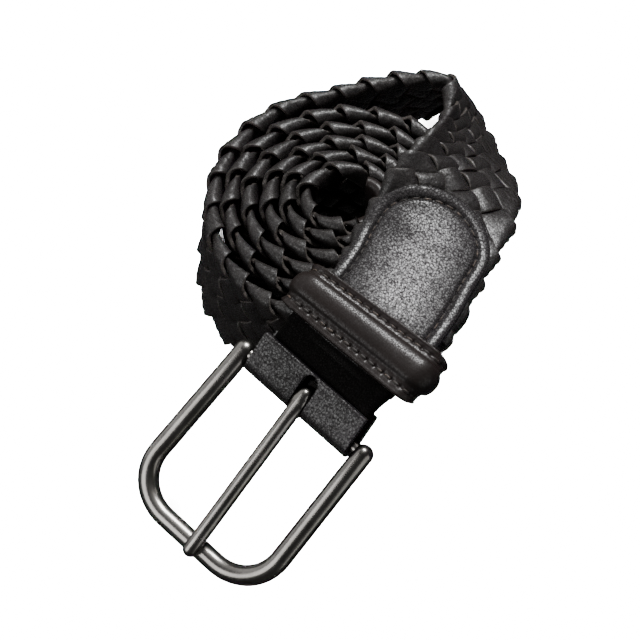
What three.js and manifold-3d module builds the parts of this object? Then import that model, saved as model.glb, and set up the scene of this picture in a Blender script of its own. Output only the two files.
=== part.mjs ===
// Braided leather belt, rolled up on its edge, with the buckle end laid forward over the roll.
// Millimetres, +Z up. The buckle points to -Y and its bar lies along X.
import * as THREE from 'three';
import { mergeVertices } from 'three/addons/utils/BufferGeometryUtils.js';
import Module from 'manifold-3d';

const wasm = await Module();
wasm.setup();

// Strap
const strapWidth = 35;
const strapThickness = 3.2;
const edgeRound = 0.9;
const seatGap = 0.3;
const ringSpacing = 4.4;

// Roll: an oval eye, and turns that widen round it
const eyeHalfLength = 9;
const eyeHalfWidth = 8;
const rollHeading = 42.5;
const tipTurns = 0.34;
const tipStartTurn = 0.2;
const outerTurn = 5.72;

// Sewn buckle end, lengths along the strap from the axis of the bar
const tabWidth = 33;
const tabThickness = 2.2;
const tabDome = 0.5;
const tabLength = 68.7;
const tabCorner = 15;
const neckStart = 5.2;
const neckThickness = 3.3;
const fullStart = 15.2;
const braidEnd = 33.7;
const foldLength = 8.9;
const foldLeather = 1.7;

// Keeper loop
const keeperStart = 18;
const keeperWidth = 12;
const keeperSideRoom = 3.5;
const keeperTopRoom = 0.5;
const keeperLeather = 1.4;
const keeperPad = 1.5;

// Buckle
const barDiameter = 3.4;
const legDiameter = 5.4;
const frameInnerWidth = 36.4;
const frameFlare = 1.3;
const frameSlant = -1.5;
const legLength = 46.5;
const frameCorner = 12.4;
const turningGap = 0.3;

// Prong
const prongDiameter = 4.1;
const prongEyeWall = 2.5;
const prongSideRoom = 0.35;
const slotLength = 8.6;
const notchDepth = 1;
const prongLean = 1.5;

const leather = { color: 0x2a2321, roughness: 0.55, metalness: 0 };
const smoothLeather = { color: 0x332b2a, roughness: 0.45, metalness: 0 };
const gunmetal = { color: 0x7d7a76, roughness: 0.3, metalness: 1 };

// Turns from the eye outward. The two columns say how far the middle of the strap has moved out
// from the eye, as shares of its thickness: along the roll's heading, and across it. The third
// is how far its lower edge leans out, as a share of its width.
const turnRows = [
  { turn: -0.25, along: -0.5, across: -1.2, lean: 0 },
  { turn: 0.0, along: 0.0, across: 0.0, lean: 0 },
  { turn: 0.5, along: 0.6, across: 0.1, lean: 0 },
  { turn: 1.0, along: 1.4, across: 0.8, lean: 0 },
  { turn: 1.5, along: 2.1, across: 1.45, lean: 0 },
  { turn: 2.0, along: 2.9, across: 2.2, lean: 0 },
  { turn: 2.5, along: 3.55, across: 2.85, lean: 0 },
  { turn: 3.0, along: 4.4, across: 3.6, lean: 0 },
  { turn: 3.5, along: 5.15, across: 4.25, lean: 0 },
  { turn: 4.0, along: 5.9, across: 5.2, lean: 0 },
  { turn: 4.5, along: 6.65, across: 5.9, lean: 0 },
  { turn: 5.0, along: 7.4, across: 6.9, lean: 0 },
  { turn: 5.25, along: 8.3, across: 7.9, lean: 0.08 },
  { turn: 5.5, along: 8.5, across: 8.45, lean: 0.09 },
  { turn: 6.0, along: 8.7, across: 8.9, lean: 0.02 },
];
const eyeOffset = 1.15;

const widest = turnRows.find((row) => row.turn === 5.25).along;
const rollRadius = eyeHalfLength + (widest + 0.5) * strapThickness;

// The strap from the buckle's bar back to the roll: its middle, with x and y as shares of the
// roll's radius and z as a share of the strap's width, and the direction across it, from the
// edge that lies over the roll to the edge that hangs outside it.
const layRows = [
  { x: 0.7368, y: -1.2069, z: 0.7677, acrossX: 1, acrossY: -0.02, acrossZ: 0 },
  { x: 0.7497, y: -1.0883, z: 0.8831, acrossX: 1, acrossY: -0.02, acrossZ: 0 },
  { x: 0.762, y: -0.9755, z: 0.9927, acrossX: 1, acrossY: -0.02, acrossZ: 0 },
  { x: 0.7885, y: -0.8934, z: 1.0629, acrossX: 1, acrossY: 0, acrossZ: -0.01 },
  { x: 0.8127, y: -0.7508, z: 1.1371, acrossX: 1, acrossY: 0.04, acrossZ: -0.03 },
  { x: 0.8073, y: -0.5113, z: 1.1629, acrossX: 1, acrossY: 0.09, acrossZ: -0.05 },
  { x: 0.7535, y: -0.2557, z: 1.1371, acrossX: 0.99, acrossY: 0.13, acrossZ: -0.06 },
  { x: 0.6808, y: -0.0404, z: 1.1086, acrossX: 0.975, acrossY: 0.2, acrossZ: -0.08 },
  { x: 0.6136, y: 0.2207, z: 1.12, acrossX: 0.95, acrossY: 0.23, acrossZ: -0.16 },
  { x: 0.5651, y: 0.3983, z: 1.14, acrossX: 0.9, acrossY: 0.27, acrossZ: -0.3 },
  { x: 0.5167, y: 0.5651, z: 1.1143, acrossX: 0.82, acrossY: 0.34, acrossZ: -0.43 },
  { x: 0.4494, y: 0.7212, z: 1.0429, acrossX: 0.7, acrossY: 0.43, acrossZ: -0.55 },
  { x: 0.3498, y: 0.8773, z: 0.9143, acrossX: 0.53, acrossY: 0.46, acrossZ: -0.7 },
  { x: 0.226, y: 1.0145, z: 0.7714, acrossX: 0.33, acrossY: 0.47, acrossZ: -0.82 },
  { x: 0.1076, y: 1.1356, z: 0.6571, acrossX: 0.16, acrossY: 0.48, acrossZ: -0.86 },
  { x: -0.0215, y: 1.2567, z: 0.5714, acrossX: 0, acrossY: 0.45, acrossZ: -0.89 },
  { x: -0.1399, y: 1.3724, z: 0.5371, acrossX: -0.05, acrossY: 0.38, acrossZ: -0.92 },
  { x: -0.2314, y: 1.4182, z: 0.5257, acrossX: -0.09, acrossY: 0.36, acrossZ: -0.93 },
  { x: -0.3445, y: 1.3348, z: 0.5086, acrossX: -0.11, acrossY: 0.3, acrossZ: -0.94 },
  { x: -0.4898, y: 1.0926, z: 0.5, acrossX: -0.07, acrossY: 0.15, acrossZ: -0.99 },
];

// A closed mesh from rings of equal length, with flat fans over its two ends.
function ringsMesh(rings) {
  const count = rings[0].length;
  const positions = rings.flat().flatMap((p) => [p.x, p.y, p.z]);
  const faces = [];
  for (let i = 0; i + 1 < rings.length; i += 1) {
    for (let j = 0; j < count; j += 1) {
      const a = i * count + j;
      const b = i * count + ((j + 1) % count);
      faces.push(a, b, b + count, a, b + count, a + count);
    }
  }
  const last = (rings.length - 1) * count;
  for (let j = 1; j + 1 < count; j += 1) {
    faces.push(0, j + 1, j, last, last + j, last + j + 1);
  }
  return closedGeometry(positions, faces);
}

// A geometry whose faces point outwards, whichever way its rings ran.
function closedGeometry(positions, faces) {
  let volume = 0;
  const corner = (i) => new THREE.Vector3().fromArray(positions, 3 * i);
  for (let i = 0; i < faces.length; i += 3) {
    volume += corner(faces[i]).dot(corner(faces[i + 1]).cross(corner(faces[i + 2])));
  }
  if (volume < 0) {
    faces.reverse();
  }
  const geometry = new THREE.BufferGeometry();
  geometry.setAttribute('position', new THREE.Float32BufferAttribute(positions, 3));
  geometry.setIndex(faces);
  return geometry;
}

function toSolid(geometry) {
  const bare = geometry.clone();
  bare.deleteAttribute('normal');
  bare.deleteAttribute('uv');
  const merged = mergeVertices(bare, 1e-4);
  const vertProperties = new Float32Array(merged.attributes.position.array);
  const triVerts = new Uint32Array(merged.index.array);
  return new wasm.Manifold(new wasm.Mesh({ numProp: 3, vertProperties, triVerts }));
}

function toGeometry(solid) {
  const mesh = solid.getMesh();
  const geometry = new THREE.BufferGeometry();
  geometry.setAttribute('position', new THREE.Float32BufferAttribute(mesh.vertProperties, 3));
  geometry.setIndex(new THREE.Uint32BufferAttribute(mesh.triVerts, 1));
  return geometry;
}

function piece(name, geometry, finish) {
  const mesh = new THREE.Mesh(geometry, new THREE.MeshStandardMaterial(finish));
  mesh.name = name;
  return mesh;
}

// Roll

function rowValue(turn, column) {
  const upper = turnRows.findIndex((row) => row.turn >= turn);
  const high = turnRows[Math.max(upper, 1)];
  const low = turnRows[Math.max(upper, 1) - 1];
  const share = (turn - low.turn) / (high.turn - low.turn);
  return low[column] + (high[column] - low[column]) * share;
}

const turnedUp = new THREE.Vector3(0, 0, 1);

function rollPoint(turn) {
  const halfLength = eyeHalfLength + rowValue(turn, 'along') * strapThickness;
  const halfWidth = eyeHalfWidth + rowValue(turn, 'across') * strapThickness;
  const shift = eyeOffset * strapThickness * (1 - turn / outerTurn);
  const angle = -2 * Math.PI * turn;
  const x = halfLength * Math.cos(angle);
  const y = halfWidth * Math.sin(angle) + shift;
  const point = new THREE.Vector3(x, y, strapWidth / 2);
  return point.applyAxisAngle(turnedUp, THREE.MathUtils.degToRad(rollHeading));
}

function rollAcross(turn) {
  const outward = rollPoint(turn).setZ(0).normalize();
  return outward.multiplyScalar(rowValue(turn, 'lean')).setZ(-1).normalize();
}

// The whole path, from the bar to the free end in the eye

const pathPoints = [];
const pathAcross = [];
layRows.forEach((row) => {
  pathPoints.push(new THREE.Vector3(row.x * rollRadius, row.y * rollRadius, row.z * strapWidth));
  pathAcross.push(new THREE.Vector3(row.acrossX, row.acrossY, row.acrossZ).normalize());
});
const turnStep = 0.04;
const freeEndTurn = tipStartTurn - tipTurns;
for (let turn = outerTurn; turn > freeEndTurn - turnStep; turn -= turnStep) {
  pathPoints.push(rollPoint(turn));
  pathAcross.push(rollAcross(turn));
}
const middleCurve = new THREE.CatmullRomCurve3(pathPoints);
const acrossCurve = new THREE.CatmullRomCurve3(pathAcross);
const pathSteps = 12 * (pathPoints.length - 1);
const pathLengths = [0];
for (let i = 1; i <= pathSteps; i += 1) {
  const step = middleCurve.getPoint(i / pathSteps).distanceTo(middleCurve.getPoint((i - 1) / pathSteps));
  pathLengths.push(pathLengths[i - 1] + step);
}
const pathLength = pathLengths[pathSteps];

function pathShare(distance) {
  if (distance <= 0) {
    return 0;
  }
  const i = Math.min(pathLengths.findIndex((length) => length >= distance), pathSteps);
  const part = (distance - pathLengths[i - 1]) / (pathLengths[i] - pathLengths[i - 1]);
  return (i - 1 + part) / pathSteps;
}

// A place on the strap: its distance from the bar, how far across it, and how far out from it.
function strapFrame(distance) {
  const share = pathShare(distance);
  const tangent = middleCurve.getTangent(share);
  const middle = middleCurve.getPoint(share).addScaledVector(tangent, Math.min(distance, 0));
  const across = acrossCurve.getPoint(share).normalize();
  const out = across.clone().cross(tangent).normalize();
  return { middle, across, out };
}

function strapPoint(distance, across, out) {
  const frame = strapFrame(distance);
  return frame.middle.addScaledVector(frame.across, across).addScaledVector(frame.out, out);
}

function stations(start, end, spacing) {
  const count = Math.max(2, Math.ceil((end - start) / spacing));
  return Array.from({ length: count + 1 }, (_, i) => start + ((end - start) * i) / count);
}

function ringAt(distance, section) {
  return section.map(([across, out]) => strapPoint(distance, across, out));
}

// Where along the path the turn count falls to a given one.
function distanceOfTurn(turn) {
  const index = layRows.length + (outerTurn - turn) / turnStep;
  const share = index / (pathPoints.length - 1);
  return pathLengths[Math.round(share * pathSteps)];
}

// Braid and its end

const facePlaces = [-1, -0.5, 0, 0.5, 1];

function bandSection() {
  const side = strapWidth / 2;
  const face = strapThickness / 2;
  const flat = side - edgeRound;
  return [
    [-side, -face + edgeRound],
    ...facePlaces.map((place) => [place * flat, -face]),
    [side, -face + edgeRound],
    [side, face - edgeRound],
    ...facePlaces.map((place) => [-place * flat, face]),
    [-side, face - edgeRound],
  ];
}

const tipStart = distanceOfTurn(tipStartTurn);
const tabRoundStart = tabLength - tabCorner;
const sewnStations = [
  ...stations(braidEnd, tabRoundStart, 0.7 * ringSpacing),
  ...stations(tabRoundStart, tabLength, 0.35 * ringSpacing).slice(1),
];

// The strap turns sharply behind the roll, over about three widths of itself.
const cornerEnd = tabLength + 2 * strapWidth;

function braid() {
  const distances = [
    ...sewnStations,
    ...stations(tabLength, cornerEnd, ringSpacing / 2).slice(1),
    ...stations(cornerEnd, tipStart - seatGap / 2, ringSpacing).slice(1),
  ];
  const rings = distances.map((distance) => ringAt(distance, bandSection()));
  return piece('braid', ringsMesh(rings), leather);
}

function endTip() {
  const tipEnd = distanceOfTurn(freeEndTurn);
  const distances = stations(tipStart + seatGap / 2, tipEnd, ringSpacing / 2);
  const rings = distances.map((distance) => ringAt(distance, bandSection()));
  return piece('end_tip', ringsMesh(rings), smoothLeather);
}

// Tab: a neck that goes into the fold, a thick part under the keeper, and a rounded plate that
// is sewn on top of the braid.

const braidTop = strapThickness / 2;
const tabTop = braidTop + seatGap + tabThickness;
const tabBottom = -strapThickness / 2 - seatGap;

const tabEdgeRound = 0.8;
const tabTipShare = 0.11;

// Half the tab's width, which closes in a full rounded end and never quite to nothing.
function tabHalfWidth(distance) {
  const into = Math.max(distance - tabRoundStart, 0) / tabCorner;
  const share = Math.sqrt(Math.max(1 - into ** 2.3, tabTipShare ** 2));
  return (tabWidth / 2) * share;
}

function tabSection(distance, low, high, dome) {
  const side = tabHalfWidth(distance);
  const round = Math.min(tabEdgeRound, side * 0.4, (high - low) * 0.3);
  return [
    ...facePlaces.map((place) => [place * side, low]),
    [side, high - round],
    [side - round, high],
    [side / 2, high + dome * 0.75],
    [0, high + dome],
    [-side / 2, high + dome * 0.75],
    [-side + round, high],
    [-side, high - round],
  ];
}

function tab() {
  const rings = [];
  const addRings = (distances, low, high, dome) => {
    distances.forEach((distance) => {
      rings.push(ringAt(distance, tabSection(distance, low, high, dome)));
    });
  };
  const spacing = 0.7 * ringSpacing;
  const neckHalf = neckThickness / 2;
  addRings(stations(neckStart, fullStart, spacing), -neckHalf, neckHalf, 0);
  addRings(stations(fullStart + tabEdgeRound, braidEnd - seatGap, spacing), tabBottom, tabTop, tabDome);
  addRings(sewnStations, braidTop + seatGap, tabTop, tabDome);
  const solid = toSolid(ringsMesh(rings)).subtract(prongSlot());
  return piece('tab', toGeometry(solid), smoothLeather);
}

// Keeper: a loose loop with a flat stitched border on each side and a padded middle

const keeperCorner = 3;
const keeperBorder = 2.6;
const keeperSlope = 1;

// The loop's inner wall, seen along the strap: places with the way they face.
function keeperPlaces() {
  const halfAcross = tabWidth / 2 + keeperSideRoom;
  const top = tabTop + tabDome + keeperTopRoom;
  const bottom = tabBottom - seatGap;
  const middleOut = (top + bottom) / 2;
  const halfOut = (top - bottom) / 2;
  const cornerSteps = 4;
  const places = [];
  [[1, 1], [-1, 1], [-1, -1], [1, -1]].forEach(([signAcross, signOut], quarter) => {
    for (let i = 0; i <= cornerSteps; i += 1) {
      const angle = (Math.PI / 2) * (quarter + i / cornerSteps);
      const side = Math.cos(angle);
      const up = Math.sin(angle);
      const across = signAcross * (halfAcross - keeperCorner) + keeperCorner * side;
      const out = middleOut + signOut * (halfOut - keeperCorner) + keeperCorner * up;
      places.push({ across, out, side, up });
    }
  });
  return places;
}

// The wall's profile as (along the strap, height), padded everywhere but on the underside.
function keeperProfile(up) {
  const pad = up > -0.9 ? keeperPad : 0;
  const slopeEnd = keeperBorder + keeperSlope;
  const innerWall = [1, 0.75, 0.5, 0.25, 0].map((share) => [share * keeperWidth, 0]);
  return [
    [0, keeperLeather],
    [keeperBorder, keeperLeather],
    [slopeEnd, keeperLeather + 0.7 * pad],
    [keeperWidth / 2, keeperLeather + pad],
    [keeperWidth - slopeEnd, keeperLeather + 0.7 * pad],
    [keeperWidth - keeperBorder, keeperLeather],
    [keeperWidth, keeperLeather],
    ...innerWall,
  ];
}

function keeper() {
  const rings = keeperPlaces().map((place) => keeperProfile(place.up).map(([along, height]) => {
    const across = place.across + place.side * height;
    const out = place.out + place.up * height;
    return strapPoint(keeperStart + along, across, out);
  }));
  const count = rings[0].length;
  const positions = rings.flat().flatMap((p) => [p.x, p.y, p.z]);
  const faces = [];
  rings.forEach((_, i) => {
    const here = i * count;
    const next = ((i + 1) % rings.length) * count;
    for (let j = 0; j < count; j += 1) {
      const k = (j + 1) % count;
      faces.push(here + j, here + k, next + k);
      faces.push(here + j, next + k, next + j);
    }
  });
  return piece('keeper_loop', closedGeometry(positions, faces), smoothLeather);
}

// Fold: leather turned round the bar, straight near it, with a slot for the prong

const foldInner = barDiameter / 2 + turningGap;
const foldOuter = foldInner + foldLeather;
const foldEdge = 0.45;

function fold() {
  const layerInner = neckThickness / 2 + seatGap;
  const shape = new THREE.Shape();
  shape.moveTo(foldLength, layerInner);
  shape.lineTo(foldLength, foldOuter - foldEdge);
  shape.lineTo(foldLength - 2 * foldEdge, foldOuter);
  shape.lineTo(0, foldOuter);
  shape.absarc(0, 0, foldOuter, Math.PI / 2, (3 * Math.PI) / 2, false);
  shape.lineTo(foldLength, -foldOuter + foldEdge);
  shape.lineTo(foldLength, -layerInner);
  shape.lineTo(foldEdge, -foldInner);
  shape.lineTo(0, -foldInner);
  shape.absarc(0, 0, foldInner, (3 * Math.PI) / 2, Math.PI / 2, true);
  shape.lineTo(foldEdge, foldInner);
  const settings = { depth: strapWidth, steps: 1, bevelEnabled: false, curveSegments: 12 };
  const body = new THREE.ExtrudeGeometry(shape, settings);
  body.translate(0, 0, -strapWidth / 2);
  body.applyMatrix4(foldMatrix());
  const solid = toSolid(body).subtract(prongSlot());
  return piece('bar_fold', toGeometry(solid), smoothLeather);
}

// Takes a shape drawn as (distance, out) and extruded across the strap to its place at the bar.
function foldMatrix() {
  const { middle, across, out } = strapFrame(0);
  const along = out.clone().cross(across);
  const matrix = new THREE.Matrix4().makeBasis(along, out, along.clone().cross(out));
  return matrix.setPosition(middle);
}

// A round-ended window through the upper layer, with a round pocket for the prong's eye.
function prongSlot() {
  const halfWidth = prongDiameter / 2 + prongSideRoom;
  const eyeRoom = foldInner + prongEyeWall + prongSideRoom;
  const front = -2 * foldOuter;
  const back = slotLength - halfWidth;
  const height = 4 * foldOuter;
  const outline = new THREE.Shape();
  outline.moveTo(front, -halfWidth);
  outline.lineTo(back, -halfWidth);
  outline.absarc(back, 0, halfWidth, -Math.PI / 2, Math.PI / 2, false);
  outline.lineTo(front, halfWidth);
  const settings = { depth: height, steps: 1, bevelEnabled: false, curveSegments: 8 };
  const opening = new THREE.ExtrudeGeometry(outline, settings);
  opening.rotateX(-Math.PI / 2);
  opening.translate(0, -neckThickness / 2 - seatGap / 3, 0);
  opening.applyMatrix4(foldMatrix());
  const pocket = new THREE.CylinderGeometry(eyeRoom, eyeRoom, 2 * halfWidth, 24);
  pocket.rotateX(Math.PI / 2);
  pocket.applyMatrix4(foldMatrix());
  return toSolid(opening).add(toSolid(pocket));
}

// Buckle, drawn flat with its bar along X through the origin and its legs along -Y

const legRadius = legDiameter / 2;
const barHalf = frameInnerWidth / 2 + legRadius;
const farHalf = barHalf + frameFlare;
const rodSides = 14;
const cornerSteps = 8;

// The legs and the far bar as one bent line, from one end of the bar to the other.
function frameLine() {
  const turnY = frameCorner - legLength;
  const slant = (y) => (frameSlant * -y) / legLength;
  const legX = barHalf + (frameFlare * -turnY) / legLength;
  const points = [new THREE.Vector3(-barHalf, 0, 0), new THREE.Vector3(-legX, turnY, 0)];
  [-1, 1].forEach((sign) => {
    for (let i = 1; i <= cornerSteps; i += 1) {
      const share = sign < 0 ? i / cornerSteps : 1 - (i - 1) / cornerSteps;
      const angle = (Math.PI / 2) * share;
      const x = sign * (farHalf - frameCorner + frameCorner * Math.cos(angle));
      points.push(new THREE.Vector3(x, turnY - frameCorner * Math.sin(angle), 0));
    }
  });
  points.push(new THREE.Vector3(legX, turnY, 0), new THREE.Vector3(barHalf, 0, 0));
  return points.map((point) => point.setX(point.x + slant(point.y)));
}

// A round rod along a line that lies in the XY plane.
function rod(points, radius) {
  const rings = points.map((point, i) => {
    const before = points[Math.max(i - 1, 0)];
    const after = points[Math.min(i + 1, points.length - 1)];
    const tangent = after.clone().sub(before).normalize();
    const into = point.clone().sub(before).normalize();
    const inside = i > 0 && i + 1 < points.length;
    const reach = inside ? radius / into.dot(tangent) : radius;
    const side = turnedUp.clone().cross(tangent).multiplyScalar(reach);
    return Array.from({ length: rodSides }, (_, k) => {
      const angle = (2 * Math.PI * (k + 0.5)) / rodSides;
      const place = point.clone().addScaledVector(side, Math.cos(angle));
      return place.setZ(radius * Math.sin(angle));
    });
  });
  return ringsMesh(rings);
}

const frameLift = Math.asin((layRows[0].z * strapWidth - legRadius) / legLength);

// Tips the flat buckle up until its far bar lies on the surface and its bar is in the fold.
function placeBuckle(geometry) {
  const { middle, across } = strapFrame(0);
  geometry.rotateX(frameLift);
  geometry.rotateZ(Math.atan2(across.y, across.x));
  return geometry.translate(middle.x, middle.y, middle.z);
}

const prongRadius = prongDiameter / 2;
const eyeOuter = foldInner + prongEyeWall;
const prongRootHeight = eyeOuter - prongRadius;
const prongTipHeight = legRadius + prongRadius + seatGap - notchDepth;

function buckleFrame() {
  let solid = toSolid(rod(frameLine(), legRadius));
  [-1, 1].forEach((sign) => {
    const end = new THREE.SphereGeometry(legRadius - turningGap / 20, rodSides, 8);
    end.rotateX(Math.PI / 2);
    end.translate(sign * barHalf, 0, 0);
    solid = solid.add(toSolid(end));
  });
  const bar = new THREE.CylinderGeometry(barDiameter / 2, barDiameter / 2, 2 * barHalf, 16);
  bar.rotateZ(Math.PI / 2);
  const notchRadius = prongRadius + seatGap;
  const notch = new THREE.CylinderGeometry(notchRadius, notchRadius, 4 * legRadius, 16);
  notch.translate(prongLean, -legLength, prongTipHeight);
  solid = solid.add(toSolid(bar)).subtract(toSolid(notch));
  return piece('buckle_frame', placeBuckle(toGeometry(solid)), gunmetal);
}

// The prong leans a little to one side, and its tip rests in the notch of the far bar.
function prong() {
  const tipY = -legLength - legRadius;
  const shaftEnd = tipY + prongRadius;
  const ring = (y, radius) => {
    const share = -y / legLength;
    const height = prongRootHeight + (prongTipHeight - prongRootHeight) * share;
    return Array.from({ length: 10 }, (_, k) => {
      const angle = (2 * Math.PI * (k + 0.5)) / 10;
      const x = prongLean * share + radius * Math.cos(angle);
      return new THREE.Vector3(x, y, height + radius * Math.sin(angle));
    });
  };
  const rings = [0, 0.25, 0.5, 0.75, 1].map((share) => ring(shaftEnd * share, prongRadius));
  [0.5, 0.8, 0.97].forEach((share) => {
    rings.push(ring(shaftEnd - prongRadius * share, prongRadius * Math.sqrt(1 - share ** 2)));
  });
  const eyeWidth = prongDiameter - seatGap / 3;
  const eye = new THREE.CylinderGeometry(eyeOuter, eyeOuter, eyeWidth, 24);
  eye.rotateZ(Math.PI / 2);
  const hole = new THREE.CylinderGeometry(foldInner, foldInner, 2 * prongDiameter, 24);
  hole.rotateZ(Math.PI / 2);
  const solid = toSolid(ringsMesh(rings)).add(toSolid(eye)).subtract(toSolid(hole));
  return piece('prong', placeBuckle(toGeometry(solid)), gunmetal);
}

const group = new THREE.Group();
group.add(braid(), endTip(), tab(), keeper(), fold(), buckleFrame(), prong());

// The origin is under the middle of the belt's outline, on the surface that it stands on.
const box = new THREE.Box3().setFromObject(group);
group.position.set(-(box.min.x + box.max.x) / 2, -(box.min.y + box.max.y) / 2, -box.min.z);
group.updateMatrixWorld(true);

export default group;
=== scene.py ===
import math

import bmesh
import bpy
import numpy as np
from mathutils import Matrix, Vector


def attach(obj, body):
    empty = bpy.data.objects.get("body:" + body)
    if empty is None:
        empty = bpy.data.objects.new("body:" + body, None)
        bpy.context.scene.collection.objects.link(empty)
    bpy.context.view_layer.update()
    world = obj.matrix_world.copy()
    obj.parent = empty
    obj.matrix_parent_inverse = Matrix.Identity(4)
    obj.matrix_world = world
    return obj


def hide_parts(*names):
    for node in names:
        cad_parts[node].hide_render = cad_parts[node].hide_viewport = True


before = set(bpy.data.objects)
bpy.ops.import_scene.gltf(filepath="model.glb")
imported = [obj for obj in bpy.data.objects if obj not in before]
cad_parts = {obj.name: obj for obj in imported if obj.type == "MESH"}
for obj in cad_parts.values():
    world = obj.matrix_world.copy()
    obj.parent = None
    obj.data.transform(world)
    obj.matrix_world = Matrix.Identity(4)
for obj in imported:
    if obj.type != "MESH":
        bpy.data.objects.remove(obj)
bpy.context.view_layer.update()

scene = bpy.context.scene
mm = 0.001


# The strap's path, the same tables as in the solids, in millimetres

strap = {
    "width": 35.0,
    "thickness": 3.2,
    "gap": 0.3,
    "eyeHalfLength": 9.0,
    "eyeHalfWidth": 8.0,
    "eyeOffset": 1.15,
    "heading": 42.5,
    "tipTurns": 0.34,
    "tipStartTurn": 0.2,
    "outerTurn": 5.72,
    "turnStep": 0.04,
    "origin": (-7.236, 14.671, 0.014),
}

# turn, along, across, lean
turnRows = np.array([
    (-0.25, -0.5, -1.2, 0.0),
    (0.0, 0.0, 0.0, 0.0),
    (0.5, 0.6, 0.1, 0.0),
    (1.0, 1.4, 0.8, 0.0),
    (1.5, 2.1, 1.45, 0.0),
    (2.0, 2.9, 2.2, 0.0),
    (2.5, 3.55, 2.85, 0.0),
    (3.0, 4.4, 3.6, 0.0),
    (3.5, 5.15, 4.25, 0.0),
    (4.0, 5.9, 5.2, 0.0),
    (4.5, 6.65, 5.9, 0.0),
    (5.0, 7.4, 6.9, 0.0),
    (5.25, 8.3, 7.9, 0.08),
    (5.5, 8.5, 8.45, 0.09),
    (6.0, 8.7, 8.9, 0.02),
])

# x, y, z of the middle, then the direction across, from the bar back to the roll
layRows = np.array([
    (0.7368, -1.2069, 0.7677, 1.0, -0.02, 0.0),
    (0.7497, -1.0883, 0.8831, 1.0, -0.02, 0.0),
    (0.762, -0.9755, 0.9927, 1.0, -0.02, 0.0),
    (0.7885, -0.8934, 1.0629, 1.0, 0.0, -0.01),
    (0.8127, -0.7508, 1.1371, 1.0, 0.04, -0.03),
    (0.8073, -0.5113, 1.1629, 1.0, 0.09, -0.05),
    (0.7535, -0.2557, 1.1371, 0.99, 0.13, -0.06),
    (0.6808, -0.0404, 1.1086, 0.975, 0.2, -0.08),
    (0.6136, 0.2207, 1.12, 0.95, 0.23, -0.16),
    (0.5651, 0.3983, 1.14, 0.9, 0.27, -0.3),
    (0.5167, 0.5651, 1.1143, 0.82, 0.34, -0.43),
    (0.4494, 0.7212, 1.0429, 0.7, 0.43, -0.55),
    (0.3498, 0.8773, 0.9143, 0.53, 0.46, -0.7),
    (0.226, 1.0145, 0.7714, 0.33, 0.47, -0.82),
    (0.1076, 1.1356, 0.6571, 0.16, 0.48, -0.86),
    (-0.0215, 1.2567, 0.5714, 0.0, 0.45, -0.89),
    (-0.1399, 1.3724, 0.5371, -0.05, 0.38, -0.92),
    (-0.2314, 1.4182, 0.5257, -0.09, 0.36, -0.93),
    (-0.3445, 1.3348, 0.5086, -0.11, 0.3, -0.94),
    (-0.4898, 1.0926, 0.5, -0.07, 0.15, -0.99),
])


def rollPoint(turn):
    along = np.interp(turn, turnRows[:, 0], turnRows[:, 1])
    across = np.interp(turn, turnRows[:, 0], turnRows[:, 2])
    angle = -2 * math.pi * turn
    x = (strap["eyeHalfLength"] + along * strap["thickness"]) * math.cos(angle)
    y = (strap["eyeHalfWidth"] + across * strap["thickness"]) * math.sin(angle)
    y += strap["eyeOffset"] * strap["thickness"] * (1 - turn / strap["outerTurn"])
    heading = math.radians(strap["heading"])
    turnedX = x * math.cos(heading) - y * math.sin(heading)
    turnedY = x * math.sin(heading) + y * math.cos(heading)
    return np.array((turnedX, turnedY, strap["width"] / 2))


def rollAcross(turn):
    lean = np.interp(turn, turnRows[:, 0], turnRows[:, 3])
    outward = rollPoint(turn)
    outward[2] = 0
    across = outward / np.linalg.norm(outward) * lean
    across[2] = -1
    return across / np.linalg.norm(across)


# A centripetal Catmull-Rom curve, sampled evenly between its points
def smoothCurve(points, steps):
    first = 2 * points[0] - points[1]
    last = 2 * points[-1] - points[-2]
    padded = np.vstack((first, points, last))
    gaps = np.linalg.norm(np.diff(padded, axis=0), axis=1) ** 0.5
    found = []
    for i in range(len(points) - 1):
        p0, p1, p2, p3 = padded[i:i + 4]
        d0, d1, d2 = gaps[i:i + 3]
        if d1 < 1e-4:
            d1 = 1.0
        if d0 < 1e-4:
            d0 = d1
        if d2 < 1e-4:
            d2 = d1
        slope1 = ((p1 - p0) / d0 - (p2 - p0) / (d0 + d1) + (p2 - p1) / d1) * d1
        slope2 = ((p2 - p1) / d1 - (p3 - p1) / (d1 + d2) + (p3 - p2) / d2) * d1
        for k in range(steps):
            t = k / steps
            square = -3 * p1 + 3 * p2 - 2 * slope1 - slope2
            cube = 2 * p1 - 2 * p2 + slope1 + slope2
            found.append(p1 + slope1 * t + square * t ** 2 + cube * t ** 3)
    found.append(points[-1])
    return np.array(found)


def unit(rows):
    return rows / np.linalg.norm(rows, axis=1)[:, None]


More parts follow.
